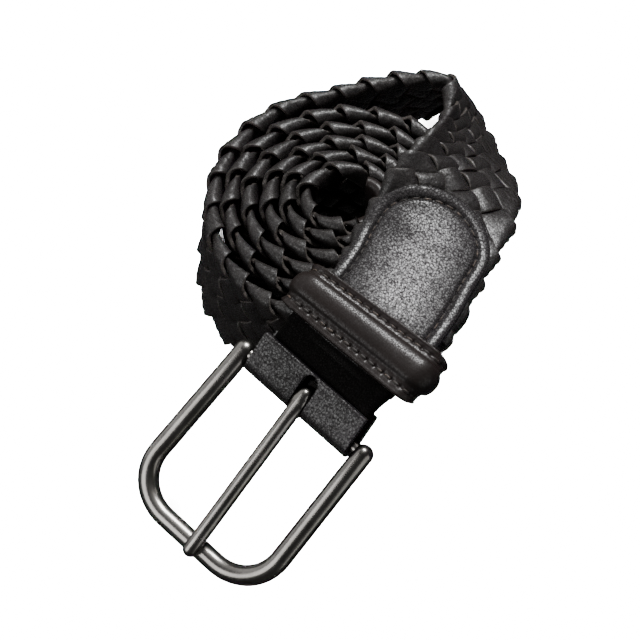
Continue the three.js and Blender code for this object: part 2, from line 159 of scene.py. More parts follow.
def makePath():
    thickness = strap["thickness"]
    widest = turnRows[turnRows[:, 0] == 5.25][0][1]
    radius = strap["eyeHalfLength"] + (widest + 0.5) * thickness
    points = [np.array((x * radius, y * radius, z * strap["width"])) for x, y, z, *_ in layRows]
    across = [np.array(row[3:]) / np.linalg.norm(row[3:]) for row in layRows]
    turn = strap["outerTurn"]
    freeEnd = strap["tipStartTurn"] - strap["tipTurns"]
    while turn > freeEnd - strap["turnStep"]:
        points.append(rollPoint(turn))
        across.append(rollAcross(turn))
        turn -= strap["turnStep"]
    steps = 12
    middle = smoothCurve(np.array(points), steps)
    sideways = unit(smoothCurve(np.array(across), steps))
    lengths = np.concatenate(([0], np.cumsum(np.linalg.norm(np.diff(middle, axis=0), axis=1))))
    tangent = unit(np.gradient(middle, axis=0))
    out = unit(np.cross(sideways, tangent))
    tipIndex = len(layRows) + (strap["outerTurn"] - strap["tipStartTurn"]) / strap["turnStep"]
    endIndex = len(layRows) + (strap["outerTurn"] - freeEnd) / strap["turnStep"]
    return {
        "length": lengths,
        "middle": middle + np.array(strap["origin"]),
        "tangent": tangent,
        "across": sideways,
        "out": out,
        "tipStart": lengths[round(tipIndex * steps)],
        "freeEnd": lengths[round(endIndex * steps)],
    }


path = makePath()
print("path ready, strap length", round(float(path["freeEnd"]), 1), "mm")


def along(column, distance):
    rows = path[column]
    return np.stack([np.interp(distance, path["length"], rows[:, i]) for i in range(3)], axis=1)


# Flat places (distance from the bar, across, out), in millimetres, laid on the strap's path
def layFlat(flat):
    flat = np.asarray(flat, float)
    distance = flat[:, 0]
    middle = along("middle", distance) + along("tangent", distance) * np.minimum(distance, 0)[:, None]
    across = unit(along("across", distance))
    out = unit(along("out", distance))
    return (middle + across * flat[:, 1:2] + out * flat[:, 2:3]) * mm


# Small helpers for meshes

def deselectAll():
    if bpy.context.object and bpy.context.object.mode != "OBJECT":
        bpy.ops.object.mode_set(mode="OBJECT")
    bpy.ops.object.select_all(action="DESELECT")


def meshPiece(name, places, faces, body):
    mesh = bpy.data.meshes.new(name)
    mesh.from_pydata([tuple(p) for p in places], [], faces)
    mesh.update()
    piece = bpy.data.objects.new(name, mesh)
    scene.collection.objects.link(piece)
    dress(piece, body)
    return piece


def dress(piece, body):
    mesh = piece.data
    mesh.polygons.foreach_set("use_smooth", [True] * len(mesh.polygons))
    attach(piece, body)


def places(piece):
    found = np.zeros(len(piece.data.vertices) * 3)
    piece.data.vertices.foreach_get("co", found)
    return found.reshape(-1, 3)


def movePlaces(piece, found):
    piece.data.vertices.foreach_set("co", np.asarray(found).ravel())
    piece.data.update()


def recalculate(piece):
    deselectAll()
    piece.select_set(True)
    bpy.context.view_layer.objects.active = piece
    bpy.ops.object.mode_set(mode="EDIT")
    bpy.ops.mesh.select_all(action="SELECT")
    bpy.ops.mesh.remove_doubles(threshold=1e-6)
    bpy.ops.mesh.normals_make_consistent(inside=False)
    bpy.ops.object.mode_set(mode="OBJECT")


# A closed slab of leather, as a grid of squares with a copy of itself below: its corners run
# from 0 to 1 in x and y, and z is 1 on top and 0 below.
def leatherSlab(name, stepsX, stepsY):
    deselectAll()
    middle = (0.5, 0.5, 0)
    bpy.ops.mesh.primitive_grid_add(x_subdivisions=stepsX, y_subdivisions=stepsY, size=1, location=middle)
    slab = bpy.context.object
    slab.name = name
    bpy.ops.object.transform_apply(location=True, rotation=True, scale=True)
    bpy.ops.object.mode_set(mode="EDIT")
    bpy.ops.mesh.select_all(action="SELECT")
    bpy.ops.mesh.extrude_region_move(TRANSFORM_OT_translate={"value": (0, 0, 1)})
    bpy.ops.mesh.select_all(action="SELECT")
    bpy.ops.mesh.normals_make_consistent(inside=False)
    bpy.ops.object.mode_set(mode="OBJECT")
    return slab


def addValues(piece, name, values):
    layer = piece.data.attributes.new(name, "FLOAT", "POINT")
    layer.data.foreach_set("value", np.asarray(values, np.float32))


# Materials

class Value:
    def __init__(self, paint, socket):
        self.paint = paint
        self.socket = socket

    def maths(self, operation, first, second):
        return self.paint.node("ShaderNodeMath", {"operation": operation}, {0: first, 1: second})

    def __add__(self, other):
        return self.maths("ADD", self, other)

    def __radd__(self, other):
        return self.maths("ADD", other, self)

    def __sub__(self, other):
        return self.maths("SUBTRACT", self, other)

    def __rsub__(self, other):
        return self.maths("SUBTRACT", other, self)

    def __mul__(self, other):
        return self.maths("MULTIPLY", self, other)

    def __rmul__(self, other):
        return self.maths("MULTIPLY", other, self)

    def between(self, low, high):
        return self.paint.node("ShaderNodeMapRange", {"interpolation_type": "SMOOTHSTEP"}, {
            0: self, 1: low, 2: high, 3: 0.0, 4: 1.0,
        })


class Paint:
    def __init__(self, name):
        self.material = bpy.data.materials.new(name)
        self.material.use_nodes = True
        self.tree = self.material.node_tree
        self.shader = self.tree.nodes["Principled BSDF"]

    def node(self, kind, settings=None, sockets=None, output=0):
        made = self.tree.nodes.new(kind)
        for key, value in (settings or {}).items():
            setattr(made, key, value)
        self.fill(made, sockets or {})
        return Value(self, made.outputs[output])

    def fill(self, node, sockets):
        for key, value in sockets.items():
            if isinstance(value, Value):
                self.tree.links.new(value.socket, node.inputs[key])
            else:
                node.inputs[key].default_value = value

    def place(self):
        return self.node("ShaderNodeTexCoord", output=3)

    def noise(self, scale, detail):
        return self.node("ShaderNodeTexNoise", {}, {
            "Vector": self.place(), "Scale": scale, "Detail": detail, "Roughness": 0.5,
        })

    def attribute(self, name):
        return self.node("ShaderNodeAttribute", {"attribute_name": name}, output=2)

    def blend(self, share, first, second):
        return self.node("ShaderNodeMix", {"data_type": "RGBA"}, {0: share, 6: first, 7: second}, output=2)

    def bump(self, height, strength, distance, normal=None):
        sockets = {"Height": height, "Strength": strength, "Distance": distance}
        if normal:
            sockets["Normal"] = normal
        return self.node("ShaderNodeBump", {}, sockets)

    def surface(self, **sockets):
        named = {key.replace("_", " "): value for key, value in sockets.items()}
        self.fill(self.shader, named)
        return self.material


def color(red, green, blue):
    return (red, green, blue, 1.0)


def leatherPaint(name, settings):
    paint = Paint(name)
    clouds = paint.noise(settings["cloudScale"], 3.0)
    tone = clouds.between(0.3, 0.7)
    base = paint.blend(tone, settings["dark"], settings["light"])
    wander = paint.node("ShaderNodeTexNoise", {}, {
        "Vector": paint.place(), "Scale": settings["poreScale"] * 0.7,
    }, output=1)
    shifted = paint.node("ShaderNodeVectorMath", {"operation": "MULTIPLY_ADD"}, {
        0: wander, 1: (settings["wander"],) * 3, 2: paint.place(),
    })
    cells = paint.node("ShaderNodeTexVoronoi", {"feature": "DISTANCE_TO_EDGE"}, {
        "Vector": shifted, "Scale": settings["poreScale"],
    })
    swell = cells.between(0.0, 0.2)
    fine = paint.noise(settings["poreScale"] * 1.3, 1.5)
    if settings.get("edgeLight"):
        wear = paint.attribute("edge").between(0.3, 0.9)
        base = paint.blend(wear * settings["edgeShare"], base, settings["edgeLight"])
    # painted shade: the base colour is darkened half way to the dark tone in the grain's creases, for the shade
    # that falls between the crowns
    base = paint.blend((1 - swell) * 0.5, base, settings["dark"])
    normal = paint.bump(swell * 0.7 + fine * 1.2, settings["relief"], settings["reliefDepth"])
    folds = paint.noise(settings["foldScale"], 2.0)
    normal = paint.bump(folds, 0.5, settings["foldDepth"], normal)
    rough = settings["roughness"] + (clouds - 0.5) * 0.16 + (1 - swell) * settings["dullCreases"]
    # the finish shines on the crowns of the grain and wears off in its creases
    finish = (0.1 + swell * 0.9) * (0.15 + fine.between(0.38, 0.58) * 0.85) * settings["coat"]
    return paint.surface(
        Base_Color=base, Roughness=rough, Normal=normal, Specular_IOR_Level=settings["shine"],
        Coat_Weight=finish, Coat_Roughness=settings["coatRoughness"],
    )


braidPaint = {
    "dark": color(0.0042, 0.0034, 0.0032),
    "light": color(0.0085, 0.007, 0.0066),
    "edgeLight": color(0.06, 0.053, 0.048),
    "edgeShare": 0.8,
    "cloudScale": 130.0,
    "poreScale": 1700.0,
    "foldScale": 620.0,
    "wander": 0.0003,
    "relief": 0.6,
    "reliefDepth": 0.00008,
    "foldDepth": 0.0009,
    "roughness": 0.4,
    "dullCreases": 0.3,
    "shine": 0.25,
    "coat": 0.5,
    "coatRoughness": 0.33,
}
tabPaint = {
    "dark": color(0.0045, 0.0036, 0.0038),
    "light": color(0.01, 0.0084, 0.0092),
    "cloudScale": 90.0,
    "poreScale": 1350.0,
    "foldScale": 260.0,
    "wander": 0.0006,
    "relief": 1.0,
    "reliefDepth": 0.0002,
    "foldDepth": 0.0003,
    "roughness": 0.5,
    "dullCreases": 0.4,
    "shine": 0.2,
    "coat": 0.8,
    "coatRoughness": 0.34,
}
keeperPaint = {
    "dark": color(0.006, 0.004, 0.0036),
    "light": color(0.009, 0.0064, 0.0058),
    "cloudScale": 110.0,
    "poreScale": 1900.0,
    "foldScale": 300.0,
    "wander": 0.0003,
    "relief": 0.5,
    "reliefDepth": 0.00006,
    "foldDepth": 0.0003,
    "roughness": 0.4,
    "dullCreases": 0.25,
    "shine": 0.12,
    "coat": 0.34,
    "coatRoughness": 0.24,
}
# painted shade: the tab's leather made darker and duller, for the neck and the start of the tab, which lie in shade
# between the bar fold and the keeper
neckShadePaint = dict(
    tabPaint, dark=color(0.003, 0.0027, 0.0027), light=color(0.004, 0.0036, 0.0036),
    roughness=0.8, shine=0.05, coat=0.015,
)


def threadPaint(name):
    paint = Paint(name)
    strands = paint.noise(2600.0, 2.0)
    patches = paint.noise(160.0, 2.0)
    lit = strands.between(0.4, 0.75) * patches.between(0.42, 0.62)
    base = paint.blend(lit, color(0.008, 0.006, 0.005), color(0.085, 0.06, 0.045))
    normal = paint.bump(strands, 0.6, 0.0001)
    return paint.surface(Base_Color=base, Roughness=0.6, Normal=normal, Specular_IOR_Level=0.3)


metalPaint = {
    "dark": color(0.16, 0.153, 0.143),
    "light": color(0.22, 0.211, 0.198),
    "roughness": 0.26,
}


def gunmetalPaint(name):
    paint = Paint(name)
    clouds = paint.noise(140.0, 3.0)
    fine = paint.noise(2400.0, 2.0)
    base = paint.blend(clouds.between(0.3, 0.7), metalPaint["dark"], metalPaint["light"])
    rough = metalPaint["roughness"] + (clouds - 0.5) * 0.08 + (fine - 0.5) * 0.03
    return paint.surface(Base_Color=base, Metallic=1.0, Roughness=rough)


braidLeather = leatherPaint("braidLeather", braidPaint)
tabLeather = leatherPaint("tabLeather", tabPaint)
keeperLeather = leatherPaint("keeperLeather", keeperPaint)
shadedNeckLeather = leatherPaint("shadedNeckLeather", neckShadePaint)
darkThread = threadPaint("darkThread")
gunmetal = gunmetalPaint("gunmetal")
print("materials ready")


# Braid: seven flat strands that cross over one and under one, and wrap round both edges

braid = {
    "start": 33.8,
    "strands": 7,
    "pitch": 8.8,
    "strandWidth": 5.4,
    "strandThickness": 1.15,
    "depth": 1.22,
    "spread": 0.36,
    "firstTurn": 0.0,
    "tilt": 0.75,
    "uneven": 0.13,
    "wander": 0.22,
    "coarseStep": 1.15,
    "fineStep": 0.5,
    "seed": 11,
}


# across, height and how much it is a cut edge, round a strand's section
ribbonSection = [
    (1.0, -0.35, 1.0), (1.0, 0.35, 1.0), (0.985, 0.85, 0.7), (0.9, 1.0, 0.15), (0.45, 1.0, 0.0), (0.0, 1.0, 0.0),
    (-0.45, 1.0, 0.0), (-0.9, 1.0, 0.15), (-0.985, 0.85, 0.7), (-1.0, 0.35, 1.0), (-1.0, -0.35, 1.0),
    (-0.985, -0.85, 0.7), (-0.9, -1.0, 0.15), (-0.45, -1.0, 0.0), (0.0, -1.0, 0.0), (0.45, -1.0, 0.0),
    (0.9, -1.0, 0.15), (0.985, -0.85, 0.7),
]


def strandRings(number, chance):
    pitch = braid["pitch"]
    layer = braid["depth"]
    reach = strap["width"] / 2 - braid["strandThickness"] / 2
    passLength = 2 * (reach - layer) + math.pi * layer
    rows = braid["strands"]
    passShift = rows * pitch / 2
    slope = math.atan2(passLength, passShift)
    start = braid["start"]
    end = path["tipStart"] - strap["gap"] / 2
    margin = braid["strandWidth"]
    # steps along the strand, close together where it turns over an edge
    length = (end - start + 2 * margin) / math.cos(slope)
    first = start - margin - (number * pitch + braid["firstTurn"])
    steps = [0.0]
    while steps[-1] < length:
        here = first + steps[-1] * math.cos(slope)
        share = (here / passShift) % 1.0
        near = min(share, 1 - share) * passLength < 5.2
        steps.append(steps[-1] + (braid["fineStep"] if near else braid["coarseStep"]))
    run = np.array(steps)[:, None]
    sideways = np.array([point[0] for point in ribbonSection])
    height = np.array([point[1] for point in ribbonSection])
    halfWidth = braid["strandWidth"] / 2
    spread = 1 + braid["spread"] * np.clip((300 - first - run * math.cos(slope)) / 60, 0, 1)
    marks = np.arange(0, length + 8, 5.0)
    spread = spread * np.interp(run, marks, 1 + chance.normal(0, 0.045, len(marks)))
    wander = np.interp(run, marks, chance.normal(0, braid["wander"], len(marks)))
    w = halfWidth * sideways[None, :] * spread + wander
    n = braid["strandThickness"] / 2 * height[None, :] * np.ones_like(run)
    s = first + run * math.cos(slope) - w * math.sin(slope)
    unfolded = first * math.tan(slope) + run * math.sin(slope) + w * math.cos(slope)
    turns = np.floor(unfolded / passLength)
    into = unfolded - turns * passLength
    row = (s - turns * passShift + into / math.tan(slope)) / pitch
    total = np.clip(row, 0, rows) + turns * rows
    # over and under
    wave = np.where(row < 1, 1.0, np.where(row > rows - 1, -1.0, -np.cos(np.pi * row)))
    waveSlope = np.where((row < 1) | (row > rows - 1), 0.0, np.pi * np.sin(np.pi * row))
    high = layer * wave * (1.5 - 0.5 * wave ** 2)
    highSlope = layer * waveSlope * (1.5 - 1.5 * wave ** 2)
    # the turn over each edge
    left = passLength - into
    nearStart = into < math.pi * layer / 2
    nearEnd = left < math.pi * layer / 2
    angleIn = into / layer
    angleOut = left / layer
    span = passLength - math.pi * layer + 2 * layer
    y = layer + into - math.pi * layer / 2
    y = np.where(nearStart, layer * (1 - np.cos(angleIn)), y)
    y = np.where(nearEnd, span - layer * (1 - np.cos(angleOut)), y)
    z = np.where(nearStart, layer * np.sin(angleIn), high)
    z = np.where(nearEnd, -layer * np.sin(angleOut), z)
    normalS = -highSlope / pitch
    normalY = -highSlope / (pitch * math.tan(slope))
    normalZ = np.ones_like(row)
    flat = ~(nearStart | nearEnd)
    normalS = np.where(flat, normalS, 0)
    normalY = np.where(nearStart, -np.cos(angleIn), np.where(nearEnd, -np.cos(angleOut), normalY))
    normalZ = np.where(nearStart, np.sin(angleIn), np.where(nearEnd, np.sin(angleOut), normalZ))
    size = np.sqrt(normalS ** 2 + normalY ** 2 + normalZ ** 2)
    flip = np.where(turns % 2 == 0, 1.0, -1.0)
    # each crossing sits a little differently, and one side of each turn stands up
    knots = np.arange(math.floor(total.min()) - 1, math.ceil(total.max()) + 2)
    lift = np.interp(total, knots, chance.normal(0, braid["uneven"], len(knots)))
    roll = np.interp(total, knots, chance.normal(0, braid["uneven"], len(knots)))
    turnedOver = np.clip(1.6 - np.minimum(row, rows - row), 0, 1)
    outward = np.where(row < rows / 2, flip, -flip)
    raised = n + flip * (lift + roll * w / halfWidth) - outward * braid["tilt"] * turnedOver * w / halfWidth
    sAll = s + raised * flip * normalS / size
    yAll = y + raised * flip * normalY / size
    zAll = z + raised * flip * normalZ / size
    across = np.where(turns % 2 == 0, yAll - span / 2, span / 2 - yAll)
    distance = np.clip(sAll + number * pitch + braid["firstTurn"], start, end)
    flatPlaces = np.stack((distance, across, zAll), axis=2).reshape(-1, 3)
    edge = np.tile([point[2] for point in ribbonSection], (len(steps), 1)).ravel()
    return flatPlaces, edge, len(steps), len(ribbonSection)


def tubeFaces(rings, around):
    faces = []
    for i in range(rings - 1):
        for j in range(around):
            a = i * around + j
            b = i * around + (j + 1) % around
            faces.append((a, b, b + around, a + around))
    faces.append(tuple(range(around - 1, -1, -1)))
    faces.append(tuple(range((rings - 1) * around, rings * around)))
    return faces


def buildBraid():
    chance = np.random.default_rng(braid["seed"])
    for number in range(braid["strands"]):
        flat, edge, rings, around = strandRings(number, chance)
        name = f"strand_{number + 1}"
        strand = meshPiece(name, layFlat(flat), tubeFaces(rings, around), "belt")
        addValues(strand, "edge", edge)
        strand.data.materials.append(braidLeather)
        if number == 0:
            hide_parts("braid")


buildBraid()
print("braid ready")


# Stitches: one short thread, copied along a line

stitch = {"length": 2.0, "width": 0.5, "height": 0.45}


def stitchRow(name, line, headings, body):
    deselectAll()
    bpy.ops.mesh.primitive_uv_sphere_add(segments=8, ring_count=6, radius=0.5)
    model = bpy.context.object
    shape = places(model)
    faces = [tuple(face.vertices) for face in model.data.polygons]
    bpy.data.objects.remove(model)
    shape = shape[:, [2, 0, 1]] * np.array((stitch["length"], stitch["width"], stitch["height"]))
    flat = []
    allFaces = []
    for (distance, across, out), heading in zip(line, headings):
        turned = shape.copy()
        turned[:, 0] = distance + shape[:, 0] * math.cos(heading) - shape[:, 1] * math.sin(heading)
        turned[:, 1] = across + shape[:, 0] * math.sin(heading) + shape[:, 1] * math.cos(heading)
        turned[:, 2] = out + shape[:, 2]
        allFaces += [tuple(v + len(flat) * len(shape) for v in face) for face in faces]
        flat.append(turned)
    piece = meshPiece(name, layFlat(np.vstack(flat)), allFaces, body)
    piece.data.materials.append(darkThread)
    recalculate(piece)
    return piece


# Tab

tab = {
    "width": 33.0,
    "start": 15.4,
    "braidEnd": 33.7,
    "length": 68.7,
    "corner": 15.0,
    "thickness": 2.2,
    "dome": 1.5,
    "borderWidth": 3.3,
    "borderCrown": 0.25,
    "groove": 0.4,
    "edgeRound": 0.9,
    "stitchSpacing": 3.0,
    "holeDepth": 0.45,
    "shadedTo": 17.7,
}
braidTop = strap["thickness"] / 2
tabTop = braidTop + strap["gap"] + tab["thickness"]
tabBottom = -braidTop - strap["gap"]


def tabHalfWidth(distance):
    into = np.maximum(np.asarray(distance) - (tab["length"] - tab["corner"]), 0) / tab["corner"]
    return tab["width"] / 2 * np.sqrt(np.maximum(1 - np.minimum(into, 1) ** 2.3, 0))


# Points along the tab's outline moved inwards, evenly spaced
def tabLine(inset, spacing, start):
    distance = np.linspace(start, tab["length"], 4000)
    distance = start + (tab["length"] - start) * (1 - (1 - np.linspace(0, 1, 4000)) ** 2.5)
    side = np.stack((distance, tabHalfWidth(distance)), axis=1)
    outline = np.vstack((side, side[::-1] * np.array((1, -1))))
    step = unit(np.gradient(outline, axis=0) + 1e-12)
    inward = np.stack((step[:, 1], -step[:, 0]), axis=1)
    moved = outline + inward * inset
    keep = moved[:, 0] > start
    moved = moved[keep]
    run = np.concatenate(([0], np.cumsum(np.linalg.norm(np.diff(moved, axis=0), axis=1))))
    count = round(run[-1] / spacing)
    wanted = (np.arange(count) + 0.5) * run[-1] / count
    line = np.stack((np.interp(wanted, run, moved[:, 0]), np.interp(wanted, run, moved[:, 1])), axis=1)
    further = wanted + 0.1
    ahead = np.stack((np.interp(further, run, moved[:, 0]), np.interp(further, run, moved[:, 1])), axis=1)
    headings = np.arctan2(ahead[:, 1] - line[:, 1], ahead[:, 0] - line[:, 0])
    return line, headings


def nearest(flat, line):
    best = np.full(len(flat), 1e9)
    for start in range(0, len(line), 200):
        part = line[start:start + 200]
        gap = np.sqrt(((flat[:, None, :] - part[None, :, :]) ** 2).sum(axis=2)).min(axis=1)
        best = np.minimum(best, gap)
    return best


def tabRelief(flat):
    outline, _ = tabLine(0.0, 0.25, tab["start"] - 6)
    inside = nearest(flat, outline)
    line, headings = tabLine(tab["borderWidth"], tab["stitchSpacing"], tab["braidEnd"] - 6)
    alongLine, _ = tabLine(tab["borderWidth"], 0.3, tab["braidEnd"] - 6)
    offLine = nearest(flat, alongLine)
    half = tab["stitchSpacing"] / 2
    holes = line + np.stack((np.cos(headings), np.sin(headings)), axis=1) * half
    offHole = nearest(flat, holes)
    within = np.clip((inside - tab["borderWidth"]) / (tab["width"] / 2 - tab["borderWidth"]), 0, 1)
    relief = tab["dome"] * (1 - (1 - within) ** 2)
    onBorder = np.clip(inside / tab["borderWidth"], 0, 1)
    relief += tab["borderCrown"] * np.sin(onBorder * math.pi) * (inside < tab["borderWidth"])
    relief -= tab["groove"] * np.exp(-(offLine / 0.55) ** 2)
    relief -= tab["holeDepth"] * np.exp(-(offHole / 0.42) ** 2)
    corner = np.clip(1 - inside / tab["edgeRound"], 0, 1)
    relief -= tab["edgeRound"] * (1 - np.sqrt(1 - corner ** 2)) * 0.8
    return relief


def buildTab():
    slab = leatherSlab("tabPlate", 190, 110)
    found = places(slab)
    x = found[:, 0]
    distance = tab["start"] + (tab["length"] - 0.02 - tab["start"]) * (1 - (1 - x) ** 1.7)
    distance = np.where(x > 0.999, tab["length"] - 0.02, distance)
    v = 2 * found[:, 1] - 1
    v = np.sign(v) * (1 - (1 - np.abs(v)) ** 1.25)
    across = v * tabHalfWidth(distance)
    top = found[:, 2] > 0.5
    out = np.where(distance < tab["braidEnd"] - strap["gap"], tabBottom, braidTop + strap["gap"])
    out[top] = tabTop + tabRelief(np.stack((distance[top], across[top]), axis=1))
    # painted shade: the faces before the keeper take the darker neck leather, for the shade they lie in
    shaded = [bool(np.mean(distance[list(face.vertices)]) < tab["shadedTo"]) for face in slab.data.polygons]
    movePlaces(slab, layFlat(np.stack((distance, across, out), axis=1)))
    dress(slab, "belt")
    slab.data.materials.append(tabLeather)
    slab.data.materials.append(shadedNeckLeather)
    slab.data.polygons.foreach_set("material_index", shaded)
    recalculate(slab)
    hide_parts("tab")
    line, headings = tabLine(tab["borderWidth"], tab["stitchSpacing"], tab["braidEnd"] - 6)
    height = tabTop + tabRelief(line) + 0.08
    stitchRow("tabStitches", np.column_stack((line, height)), headings, "belt")


neck = {"start": 5.2, "end": 15.9, "thickness": 3.3, "width": 33.0}


def buildNeck():
    slab = leatherSlab("tabNeck", 14, 40)
    found = places(slab)
    distance = neck["start"] + (neck["end"] - neck["start"]) * found[:, 0]
    across = (found[:, 1] - 0.5) * neck["width"]
    inside = neck["width"] / 2 - np.abs(across)
    corner = np.clip(1 - inside / 0.8, 0, 1)
    half = neck["thickness"] / 2 - 0.8 * (1 - np.sqrt(1 - corner ** 2))
    out = np.where(found[:, 2] > 0.5, half, -half)
    movePlaces(slab, layFlat(np.stack((distance, across, out), axis=1)))
    dress(slab, "belt")
    recalculate(slab)
    # painted shade: the neck takes the darker, duller leather, for the shade it lies in
    slab.data.materials.append(shadedNeckLeather)
    cutSlot(slab)


# Keeper loop

keeper = {
    "start": 18.0,
    "width": 12.0,
    "sideRoom": 3.5,
    "topRoom": 0.5,
    "leather": 1.4,
    "pad": 1.5,
    "corner": 3.0,
    "border": 3.2,
    "bead": 0.3,
    "stitchInset": 1.9,
    "stitchSpacing": 2.7,
}


# The loop's inner wall as (across, out, side, up), by length round it from the middle of its underside
def keeperWall(share):
    halfAcross = tab["width"] / 2 + keeper["sideRoom"]
    top = tabTop + 0.5 + keeper["topRoom"]
    bottom = tabBottom - strap["gap"]
    corner = keeper["corner"]
    flatTop = halfAcross - corner
    sideRun = top - bottom - 2 * corner
    quarter = corner * math.pi / 2
    parts = [flatTop, quarter, sideRun, quarter, 2 * flatTop, quarter, sideRun, quarter, flatTop]
    corners = [
        (0, top, 0, 1), (flatTop, top, 0, 1), (halfAcross, top - corner, 1, 0), (halfAcross, bottom + corner, 1, 0),
        (flatTop, bottom, 0, -1), (-flatTop, bottom, 0, -1), (-halfAcross, bottom + corner, -1, 0),
        (-halfAcross, top - corner, -1, 0), (-flatTop, top, 0, 1), (0, top, 0, 1),
    ]
    ends = np.cumsum([0] + parts)
    run = (np.asarray(share) + 0.5) % 1.0 * ends[-1]
    found = np.zeros((len(run), 4))
    for i, length in enumerate(parts):
        inside = (run >= ends[i]) & (run <= ends[i + 1] + 1e-9)
        t = (run[inside] - ends[i]) / length
        a = np.array(corners[i], float)
        b = np.array(corners[i + 1], float)
        if abs(length - quarter) < 1e-9 and i in (1, 3, 5, 7):
            angle = t * math.pi / 2
            side = a[2] * np.cos(angle) + b[2] * np.sin(angle)
            up = a[3] * np.cos(angle) + b[3] * np.sin(angle)
            centre = a[:2] - corner * a[2:]
            found[inside] = np.stack((centre[0] + corner * side, centre[1] + corner * up, side, up), axis=1)
        else:
            found[inside] = a + (b - a) * t[:, None]
    return found, ends[-1]


def keeperRelief(across, run, loopLength):
    middle = keeper["width"] / 2
    off = np.abs(across - middle)
    padHalf = middle - keeper["border"]
    pad = keeper["pad"] * np.sqrt(np.clip(1 - (off / padHalf) ** 2, 0, 1)) ** 0.9
    toEdge = middle - off
    bead = keeper["bead"] * np.exp(-((toEdge - 0.45) / 0.35) ** 2)
    round_ = 0.7 * np.clip(1 - toEdge / 0.5, 0, 1) ** 2
    offLine = np.abs(toEdge - keeper["stitchInset"])
    groove = 0.25 * np.exp(-(offLine / 0.45) ** 2)
    phase = (run / keeper["stitchSpacing"] + 0.5) % 1.0 - 0.5
    hole = 0.5 * np.exp(-((offLine / 0.42) ** 2 + (phase * keeper["stitchSpacing"] / 0.42) ** 2))
    return pad + bead - round_ - groove - hole


def buildKeeper():
    slab = leatherSlab("keeperLoop", 260, 48)
    openEnds(slab)
    found = places(slab)
    wall, loopLength = keeperWall(np.clip(found[:, 0], 0, 1))
    spread = 2 * found[:, 1] - 1
    spread = np.sign(spread) * (1 - (1 - np.abs(spread)) ** 1.15)
    across = (spread + 1) / 2 * keeper["width"]
    under = np.clip((wall[:, 3] + 1.0) / 0.4, 0, 1)
    relief = keeperRelief(across, found[:, 0] * loopLength, loopLength)
    relief = np.where(relief > 0, relief * under, relief)
    height = np.where(found[:, 2] > 0.5, keeper["leather"] + relief, 0.0)
    sideways = wall[:, 0] + wall[:, 2] * height
    out = wall[:, 1] + wall[:, 3] * height
    flat = np.stack((keeper["start"] + across, sideways, out), axis=1)
    movePlaces(slab, layFlat(flat))
    dress(slab, "belt")
    recalculate(slab)
    slab.data.materials.append(keeperLeather)
    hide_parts("keeper_loop")
    line = []
    for inset in (keeper["stitchInset"], keeper["width"] - keeper["stitchInset"]):
        count = int(loopLength / keeper["stitchSpacing"])
        run = (np.arange(count) + 0.5) * keeper["stitchSpacing"]
        rows, _ = keeperWall(run / loopLength)
        keep = rows[:, 3] > -0.5
        for (sideAcross, sideOut, side, up), r in zip(rows[keep], run[keep]):
            lift = keeper["leather"] - 0.22
            line.append((keeper["start"] + inset, sideAcross + side * lift, sideOut + up * lift, side, up))
    loopStitches(line)


# Takes the two end walls off a slab, so that it can be bent round and joined
def openEnds(slab):
    deselectAll()
    slab.select_set(True)
    bpy.context.view_layer.objects.active = slab
    bpy.ops.object.mode_set(mode="EDIT")
    bpy.ops.mesh.select_mode(type="FACE")
    mesh = bmesh.from_edit_mesh(slab.data)
    for face in mesh.faces:
        middle = face.calc_center_median()
        face.select = middle.x < 1e-4 or middle.x > 1 - 1e-4
    bmesh.update_edit_mesh(slab.data)
    bpy.ops.mesh.delete(type="ONLY_FACE")
    bpy.ops.mesh.select_mode(type="VERT")
    bpy.ops.object.mode_set(mode="OBJECT")


def loopStitches(line):
    deselectAll()
    bpy.ops.mesh.primitive_uv_sphere_add(segments=8, ring_count=6, radius=0.5)
    model = bpy.context.object
    shape = places(model)
    faces = [tuple(face.vertices) for face in model.data.polygons]
    bpy.data.objects.remove(model)
    shape = shape[:, [0, 2, 1]] * np.array((stitch["width"], 1.9, stitch["height"]))
    flat = []
    allFaces = []
    for distance, across, out, side, up in line:
        turned = np.stack((
            distance + shape[:, 0],
            across + shape[:, 1] * up + shape[:, 2] * side,
            out - shape[:, 1] * side + shape[:, 2] * up,
        ), axis=1)
        allFaces += [tuple(v + len(flat) * len(shape) for v in face) for face in faces]
        flat.append(turned)
    piece = meshPiece("keeperStitches", layFlat(np.vstack(flat)), allFaces, "belt")
    piece.data.materials.append(darkThread)
    recalculate(piece)


# Buckle: drawn flat with its bar along X at the origin, then tipped into place

buckle = {
    "barDiameter": 3.4,
    "legDiameter": 5.4,
    "innerWidth": 36.4,
    "flare": 1.3,
    "slant": -1.5,
    "legLength": 46.5,
    "corner": 12.4,
    "turningGap": 0.3,
    "prongDiameter": 4.1,
    "prongLean": 1.5,
    "eyeWall": 2.5,
    "notchDepth": 1.0,
    "slotLength": 8.6,
    "slotRoom": 0.35,
    "pocketRadius": 5.65,
    "foldLength": 8.9,
    "foldLeather": 1.7,
}
legRadius = buckle["legDiameter"] / 2
barHalf = buckle["innerWidth"] / 2 + legRadius
foldInner = buckle["barDiameter"] / 2 + buckle["turningGap"]
foldOuter = foldInner + buckle["foldLeather"]


def barPlace():
    middle = along("middle", np.array([0.0]))[0]
    across = along("across", np.array([0.0]))[0]
    return middle, across


def tipBuckle(piece):
    middle, across = barPlace()
    height = middle[2] - strap["origin"][2]
    lift = math.asin((height - legRadius) / buckle["legLength"])
    yaw = math.atan2(across[1], across[0])
    turn = Matrix.Rotation(yaw, 4, "Z") @ Matrix.Rotation(lift, 4, "X")
    piece.data.transform(Matrix.Translation(Vector(middle) * mm) @ turn @ Matrix.Scale(mm, 4))
    piece.data.update()


def selectPlaces(piece, test):
    mesh = bmesh.from_edit_mesh(piece.data)
    for vertex in mesh.verts:
        vertex.select = bool(test(vertex.co))
    mesh.select_flush(True)
    bmesh.update_edit_mesh(piece.data)


